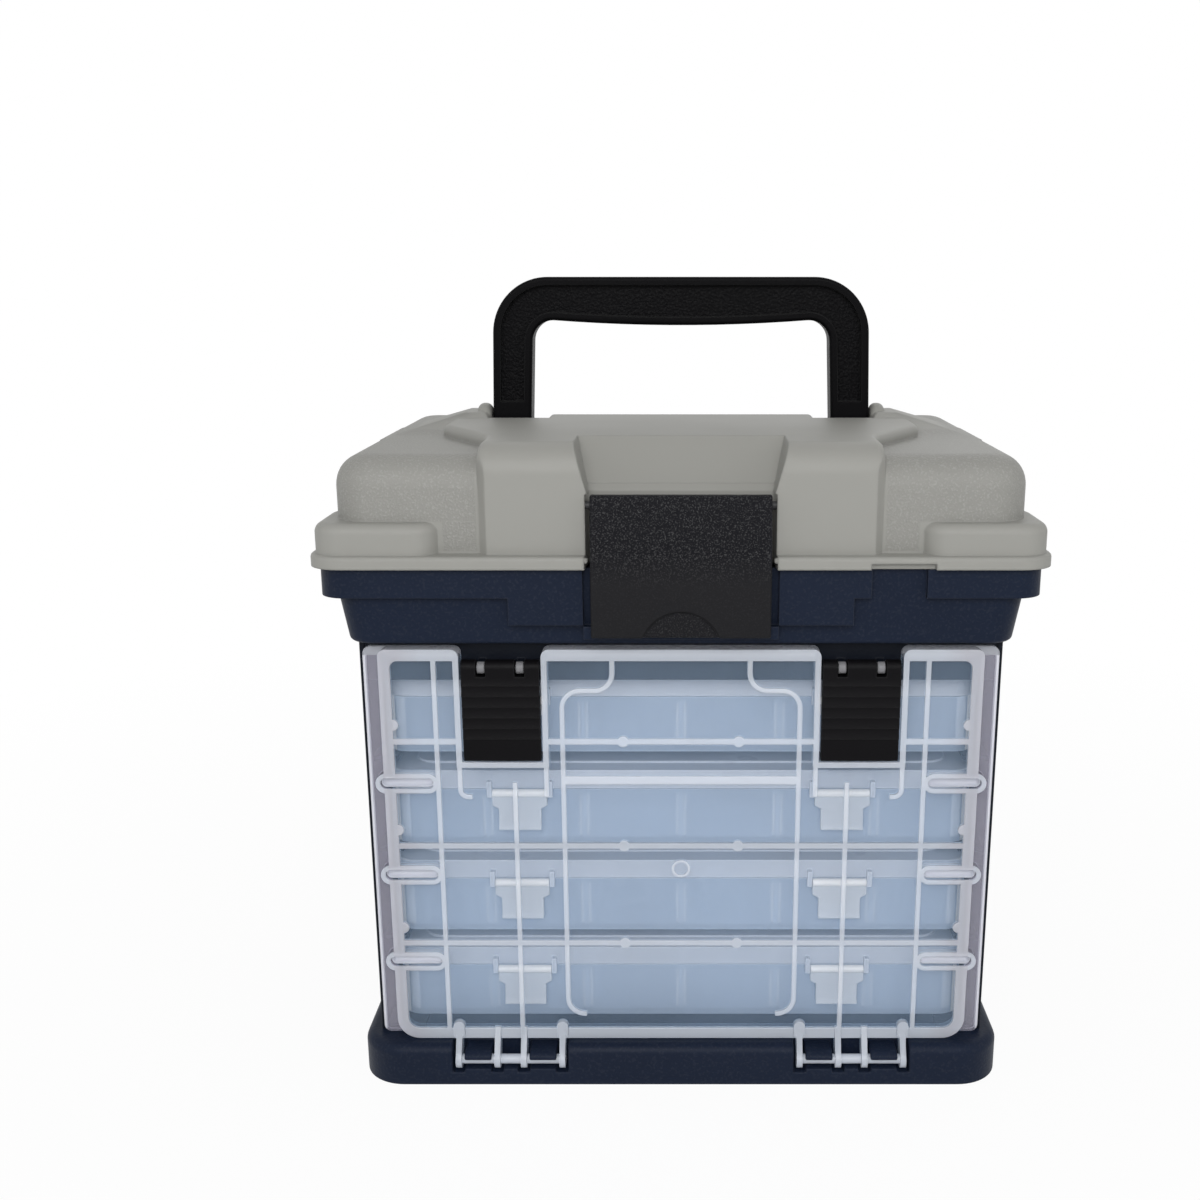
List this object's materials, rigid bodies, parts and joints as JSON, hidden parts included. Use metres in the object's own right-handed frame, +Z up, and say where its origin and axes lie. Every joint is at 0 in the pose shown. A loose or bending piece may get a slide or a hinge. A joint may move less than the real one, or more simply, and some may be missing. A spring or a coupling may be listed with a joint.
{
  "type": "tackle box",
  "caption": "Tackle box: hinged lid with folding handle over a tub, on a rack of clear utility boxes behind a clear drop-down front door with two latches.",
  "frame": {"origin": "on the floor, under the middle of the box", "axes": "+X to the right, the front faces -Y, +Z up"},
  "size_m": [0.28, 0.1948, 0.3209],
  "materials": {
    "navy": "fine grained moulded",
    "lid_grey": "grained corners, smooth straps",
    "black": "pebbled moulded",
    "door_clear": "clear, slightly milky",
    "box_clear": "clear, milky",
    "clasp_white": "milky",
    "steel": "plain"
  },
  "bodies": {
    "cabinet": {"base_plinth": "navy", "rack_side_left": "navy", "rack_side_right": "navy", "rack_back": "navy", "rack_header": "navy", "top_tub": "navy", "assembly_screws": "steel", "lid_hinge_pins": "steel", "door_latch_pins": "steel"},
    "lid": {"lid_shell": "lid_grey", "main_latch_pin": "steel", "handle_pivot_pins": "steel"},
    "handle": {"carry_handle": "black"},
    "main_latch": {"main_latch": "black"},
    "front_door": {"front_door": "door_clear"},
    "door_latch_left": {"door_latch_left": "black"},
    "door_latch_right": {"door_latch_right": "black"},
    "utility_box_1": {"box_tray_1": "box_clear", "box_lid_1": "box_clear", "box_clasps_1": "clasp_white", "box_dividers_1": "box_clear"},
    "utility_box_2": {"box_tray_2": "box_clear", "box_lid_2": "box_clear", "box_clasps_2": "clasp_white", "box_dividers_2": "box_clear"},
    "utility_box_3": {"box_tray_3": "box_clear", "box_lid_3": "box_clear", "box_clasps_3": "clasp_white", "box_dividers_3": "box_clear"},
    "utility_box_4": {"box_tray_4": "box_clear", "box_lid_4": "box_clear", "box_clasps_4": "clasp_white", "box_dividers_4": "box_clear"}
  },
  "joints": [
    {"name": "lid_hinge", "type": "hinge", "parent": "cabinet", "child": "lid", "pos_m": [0, 0.094, 0.2155], "axis": [-1, 0, 0], "range_deg": [0, 105]},
    {"name": "handle_fold", "type": "hinge", "parent": "lid", "child": "handle", "pos_m": [0, 0.022, 0.2579], "axis": [-1, 0, 0], "range_deg": [0, 88]},
    {"name": "main_latch_flip", "type": "hinge", "parent": "lid", "child": "main_latch", "pos_m": [0, -0.088, 0.2389], "axis": [-1, 0, 0], "range_deg": [0, 105]},
    {"name": "door_drop", "type": "hinge", "parent": "cabinet", "child": "front_door", "pos_m": [0, -0.09045, 0.01], "axis": [1, 0, 0], "range_deg": [0, 90]},
    {"name": "door_latch_left_flip", "type": "hinge", "parent": "cabinet", "child": "door_latch_left", "pos_m": [-0.0695, -0.0845, 0.1754], "axis": [-1, 0, 0], "range_deg": [0, 110]},
    {"name": "door_latch_right_flip", "type": "hinge", "parent": "cabinet", "child": "door_latch_right", "pos_m": [0.0695, -0.0845, 0.1754], "axis": [-1, 0, 0], "range_deg": [0, 110]},
    {"name": "utility_box_1_slide", "type": "slide", "parent": "cabinet", "child": "utility_box_1", "axis": [0, -1, 0], "range_m": [0, 0.0035]},
    {"name": "utility_box_2_slide", "type": "slide", "parent": "cabinet", "child": "utility_box_2", "axis": [0, -1, 0], "range_m": [0, 0.0035]},
    {"name": "utility_box_3_slide", "type": "slide", "parent": "cabinet", "child": "utility_box_3", "axis": [0, -1, 0], "range_m": [0, 0.0035]},
    {"name": "utility_box_4_slide", "type": "slide", "parent": "cabinet", "child": "utility_box_4", "axis": [0, -1, 0], "range_m": [0, 0.0035]}
  ]
}
